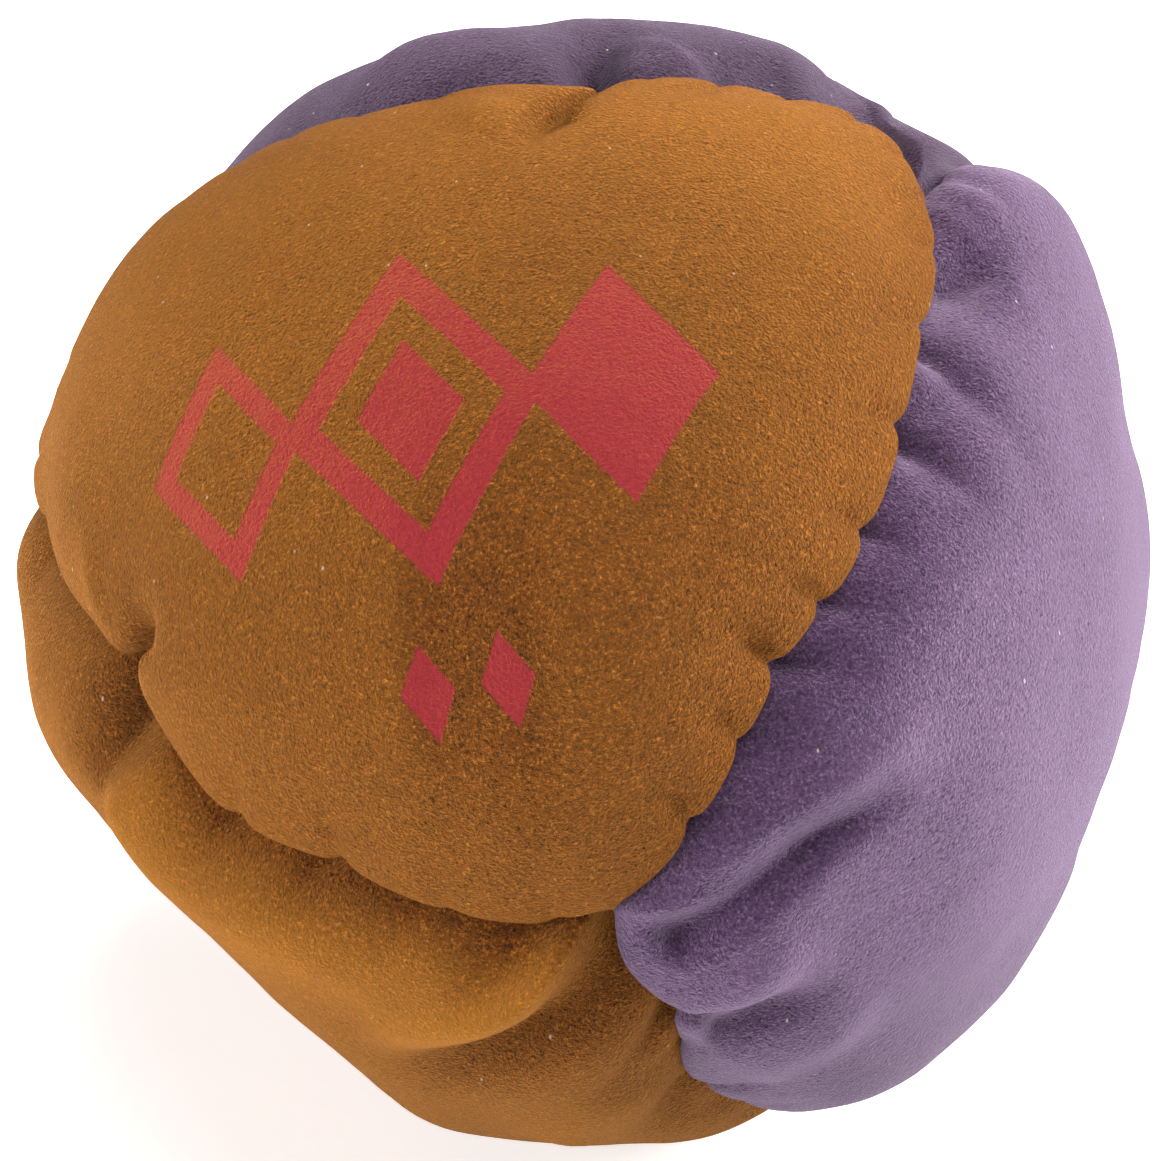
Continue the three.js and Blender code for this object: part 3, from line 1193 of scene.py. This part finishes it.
@dataclass
class Studio:
    """A pale floor, soft light from above and both sides, and the camera.

    The lens is in millimetres, its elevation in degrees, and its distance and the floor's width in metres.
    """

    bag: Bag
    elevation: float = 35.0
    lens: float = 170.0
    distance: float = 0.2783
    floor_size: float = 3.0
    floor_glow: float = 0.5
    surroundings: float = 0.14

    def floor(self) -> bpy.types.Object:
        """Lay the plain pale floor, which glows a little so that the bag's shadow stays faint.

        Returns:
            The floor's object.
        """
        half = self.floor_size / 2
        mesh = bpy.data.meshes.new("studio_floor")
        corners = [(-half, -half, 0), (half, -half, 0), (half, half, 0), (-half, half, 0)]
        mesh.from_pydata(corners, [], [(0, 1, 2, 3)])
        mesh.update()
        obj = linked("studio_floor", mesh)
        book = NodeBook("pale_floor")
        tone = book.fuzz(book.millimetres(), 0.02, 3.0) * 0.02 + 0.95
        colour = book.add("ShaderNodeCombineColor", None, {"Red": tone, "Green": tone, "Blue": tone})
        glow = {"Emission Color": WHITE, "Emission Strength": self.floor_glow}
        mesh.materials.append(book.finished({"Base Color": colour, "Roughness": 0.9, **glow}))
        return obj

    def lamp(self, name: str, place: tuple[float, ...], size: float, watts: float) -> bpy.types.Object:
        """Hang one soft square light that faces the bag.

        Args:
            name: the light's name.
            place: where it hangs, in metres from the bag's middle.
            size: its width in metres.
            watts: its power.

        Returns:
            The light's object.
        """
        light = bpy.data.lights.new(name, "AREA")
        light.shape = "SQUARE"
        light.size = size
        light.energy = watts
        obj = linked(name, light)
        obj.location = Vector(self.bag.middle) + Vector(place)
        obj.rotation_euler = Vector(place).to_track_quat("Z", "Y").to_euler()
        return obj

    def light(self) -> None:
        """Set the soft lights and the pale surroundings."""
        self.lamp("top_softbox", (0.16, -0.04, 0.75), 0.6, 6.8)
        self.lamp("left_softbox", (-0.74, -0.2, 0.05), 0.5, 14.0)
        self.lamp("right_softbox", (0.7, 0.26, 0.32), 0.5, 21.5)
        world = bpy.data.worlds.new("pale_surroundings")
        world.use_nodes = True
        sky = world.node_tree.nodes["Background"].inputs
        sky["Color"].default_value = WHITE
        sky["Strength"].default_value = self.surroundings
        bpy.context.scene.world = world
        bpy.context.scene.view_settings.view_transform = "Standard"
        bpy.context.scene.view_settings.look = "None"

    def camera(self) -> bpy.types.Object:
        """Place the camera in front of the bag and above it, with a long lens.

        Returns:
            The camera's object.
        """
        rise = math.radians(self.elevation)
        away = Vector((0.0, -math.cos(rise), math.sin(rise)))
        data = bpy.data.cameras.new("studio_camera")
        data.lens = self.lens
        data.sensor_width = 36.0
        data.clip_start = 0.01
        data.clip_end = 10.0
        obj = linked("studio_camera", data)
        obj.location = Vector(self.bag.middle) + away * self.distance
        obj.rotation_euler = away.to_track_quat("Z", "Y").to_euler()
        bpy.context.scene.camera = obj
        return obj


def sewn_seams() -> dict[str, Seam]:
    """Give the six seams, by name."""
    return {
        "front_top": Seam(
            Corner.LEFT,
            Corner.RIGHT,
            ((-117, 28), (-114, 52), (-112, 68), (-133, 79), (-174, 84), (142, 78), (124, 67), (113, 58)),
            PanelName.FRONT,
            0.8,
            1.9,
            (
                Gather(0.10, 0.5), Gather(0.17, 0.3), Gather(0.25, 0.45, 3.0), Gather(0.33, 0.3),
                Gather(0.40, 0.35), Gather(0.475, 0.3), Gather(0.545, 0.35), Gather(0.684, 2.4, 5.0, -0.2),
                Gather(0.725, 0.4), Gather(0.79, 0.9, 5.0, 0.2), Gather(0.85, 0.7, 4.5),
                Gather(0.91, 0.8, 3.5), Gather(0.96, 0.3),
            ),
        ),
        "right_front": Seam(
            Corner.RIGHT,
            Corner.FRONT,
            ((76, 51), (59, 48), (43, 40), (31, 32), (22, 26), (11, 11)),
            PanelName.FRONT,
            0.9,
            2.2,
            (
                Gather(0.09, 0.3), Gather(0.21, 0.6, 4.5, 0.25, 1.7), Gather(0.35, 0.8, 3.6, 0.2, 1.4),
                Gather(0.485, 0.8, 1.8, 0.0, 0.8), Gather(0.58, 0.75, 1.8, 0.0, 0.8),
                Gather(0.665, 1.2, 3.0, 0.0, 0.8), Gather(0.755, 0.6, 2.0, 0.0, 0.8),
                Gather(0.86, 0.8, 2.2, 0.0, 0.5),
            ),
        ),
        "left_front": Seam(
            Corner.LEFT,
            Corner.FRONT,
            ((-95, 11), (-75, 13), (-56, 14), (-39, 5), (-26, 4), (-13, 1)),
            PanelName.FRONT,
            1.6,
            2.8,
            (
                Gather(0.09, 0.4), Gather(0.17, 0.5), Gather(0.26, 0.45), Gather(0.505, 2.2, 4.5, 0.1),
                Gather(0.665, 0.5), Gather(0.765, 0.6), Gather(0.86, 0.25), Gather(0.95, 0.3),
            ),
        ),
        "right_top": Seam(
            Corner.RIGHT,
            Corner.REAR,
            ((107, 45), (118, 22), (126, 0), (137, -25)),
            PanelName.RIGHT,
            0.5,
            1.9,
            seed=5,
        ),
        "right_lower": Seam(
            Corner.FRONT,
            Corner.REAR,
            ((7, -8), (12, -16), (17, -33), (38, -48), (85, -57), (124, -56)),
            PanelName.RIGHT,
            1.2,
            2.4,
            (
                Gather(0.135, 1.2, 3.5, 0.3), Gather(0.20, 0.3), Gather(0.30, 0.7, 3.0), Gather(0.36, 0.4),
                Gather(0.43, 0.5), Gather(0.50, 0.4), Gather(0.57, 0.6), Gather(0.63, 0.4),
                Gather(0.70, 0.5), Gather(0.77, 0.5), Gather(0.84, 0.4), Gather(0.91, 0.5),
            ),
        ),
        "left_top": Seam(
            Corner.LEFT,
            Corner.REAR,
            ((-131, -14), (-149, -31), (-178, -45)),
            PanelName.TOP,
            0.5,
            2.1,
            seed=23,
        ),
    }


def sewn_panels() -> tuple[Panel, ...]:
    """Give the four panels with the folds that each has."""
    return (
        Panel(
            PanelName.FRONT,
            (-30, 50),
            (("left_front", 1), ("right_front", -1), ("front_top", -1)),
            (
                Fold(((-8, 88), (-38, 85), (-46, 80)), -0.55, (0.9, 1.3), (0.0, 0.7)),
                Fold(((-90, 84), (-70, 78)), 0.35, (1.8, 1.8)),
                Fold(((-52, 15), (-54, 19), (-58, 24)), -0.45, (1.2, 1.2), (0.0, 0.8)),
                Fold(((-64, 15), (-60, 18)), 0.4, (2.2, 2.2)),
                Fold(((-20, 26), (0, 28)), -0.4, (7.0, 7.0)),
            ),
            seed=1,
        ),
        Panel(
            PanelName.LOWER,
            (-66, -44),
            (("left_front", -1), ("left_top", 1), ("right_lower", -1)),
            (
                Fold(((-50, 14), (-53, 6), (-62, -5)), -1.5, (1.6, 1.9), (0.0, 0.6)),
                Fold(((-43, 9), (-48, 3), (-54, -5)), 0.7, (1.8, 1.5)),
                Fold(
                    ((3, 4), (1, 0), (-3, -6), (-9, -11), (-17, -15), (-26, -22)),
                    1.2,
                    (2.6, 1.1),
                    (0.15, 0.5),
                ),
                Fold(((5, 0), (2, -7), (-2, -13), (-11, -19), (-22, -26)), -2.2, (2.2, 1.7), (0.15, 0.5)),
                Fold(((-62, -6), (-42, -4), (-28, -7), (-17, -7), (-6, 0)), 0.9, (3.6, 3.6), (0.3, 0.2)),
                Fold(((14, -28), (13, -36), (15, -46)), -0.6, (1.0, 1.4), (0.1, 0.4)),
                Fold(((8, -26), (2, -36), (-8, -42)), 0.5, (3.0, 3.0)),
            ),
            seed=2,
        ),
        Panel(
            PanelName.RIGHT,
            (66, 4),
            (("right_front", 1), ("right_lower", 1), ("right_top", -1)),
            (
                Fold(((40, 17), (28, 12), (19, 8), (12, 4), (7, 1), (3, -2)), 1.0, (2.4, 1.2), (0.4, 0.1)),
                Fold(((36, 10), (24, 6), (15, 0), (7, -6)), -1.9, (1.1, 2.6), (0.45, 0.1)),
                Fold(((24, -4), (17, -9), (13, -13), (9, -17)), 1.0, (1.9, 1.3), (0.5, 0.0)),
                Fold(((27, -11), (20, -16), (13, -19)), -1.2, (1.3, 1.8), (0.5, 0.1)),
                Fold(((34, -17), (24, -24), (18, -28)), 0.5, (2.0, 2.0), (0.5, 0.1)),
                Fold(((64, 50), (74, 48), (89, 43)), -0.9, (0.8, 1.6), (0.0, 0.7)),
                Fold(((48, 43), (56, 42), (67, 40)), -0.8, (0.8, 1.5), (0.0, 0.7)),
                Fold(((84, 50), (80, 44)), -0.9, (2.4, 2.4)),
                Fold(((92, 50), (104, 41), (106, 34), (100, 27)), 0.7, (2.0, 2.0), (0.1, 0.5)),
            ),
            seed=3,
        ),
        Panel(
            PanelName.TOP,
            (180, 8),
            (("right_top", 1), ("left_top", -1), ("front_top", 1)),
            (
                Fold(((-160, 87), (172, 72), (168, 62)), -1.2, (1.2, 1.6), (0.0, 0.4)),
                Fold(((150, 78), (148, 68)), 0.8, (3.0, 3.0)),
                Fold(((108, 74), (126, 68), (142, 56)), -0.8, (1.1, 1.4), (0.0, 0.4)),
                Fold(((-120, 74), (-140, 60)), 0.6, (4.0, 4.0)),
            ),
            seed=4,
        ),
    )


def suede_finishes() -> dict[PanelName, SuedeFinish]:
    """Give each panel its suede. The top panel's purple is a darker copy with less sheen, a painted shade on
    the top of the bag.

    Returns:
        The finish of each panel.
    """
    tan = SuedeFinish(
        "tan_suede", paint(42, 17, 1), paint(132, 65, 6), paint(250, 168, 62), paint(248, 168, 78)
    )
    raised = SuedeFinish(
        "purple_suede_plain",
        paint(53, 35, 59),
        paint(98, 71, 104),
        paint(155, 127, 163),
        paint(224, 200, 228),
        pile=0.17,
    )
    # Painted shade: the top panel gets a darker copy of the purple suede, with less sheen.
    shaded_purple = replace(
        raised,
        name="purple_suede_painted_shade",
        deep=paint(36, 21, 37),
        body=paint(71, 49, 72),
        pale=paint(116, 90, 116),
        sheen_weight=0.4,
    )
    return {
        PanelName.FRONT: replace(tan, name="tan_suede_printed", printed=HarlequinPrint()),
        PanelName.LOWER: tan,
        PanelName.RIGHT: raised,
        PanelName.TOP: shaded_purple,
    }


def sewn_threads() -> tuple[SeamThread, ...]:
    """Give the stitching of each seam. The last seam is closed by hand from its rear end."""
    return (
        SeamThread("front_top_seam_thread", "front_top"),
        SeamThread("right_front_seam_thread", "right_front"),
        SeamThread("left_front_seam_thread", "left_front"),
        SeamThread("right_top_seam_thread", "right_top"),
        SeamThread("right_lower_seam_thread", "right_lower"),
        SeamThread("left_top_seam_thread", "left_top", end=0.56),
        SeamThread("closing_thread", "left_top", start=0.6, stitch=3.4),
    )


def main() -> None:
    """Build the bag, dress it and set up the studio."""
    logging.basicConfig(level=logging.INFO, format="%(message)s")
    bag = Bag(seams=sewn_seams())
    finishes = suede_finishes()
    materials = {finish.name: finish.make(bag) for finish in finishes.values()}
    for panel in sewn_panels():
        obj = panel.build(bag)
        finish = finishes[panel.name]
        obj.data.materials.append(materials[finish.name])
        log.info("sewed %s: %d faces", obj.name, len(obj.data.polygons))
    thread = ThreadFinish("tan_thread", paint(92, 60, 34), paint(164, 120, 76)).make()
    for piece in sewn_threads():
        obj = piece.build(bag)
        obj.data.materials.append(thread)
        log.info("stitched %s: %d faces", obj.name, len(obj.data.polygons))
    sand = SandFill().build(bag)
    sand.data.materials.append(
        SandFinish("fine_sand", paint(214, 190, 150), paint(170, 138, 96), paint(78, 66, 56)).make()
    )
    log.info("filled %s: %d faces", sand.name, len(sand.data.polygons))
    studio = Studio(bag)
    studio.floor()
    studio.light()
    studio.camera()


if __name__ == "__main__":
    main()
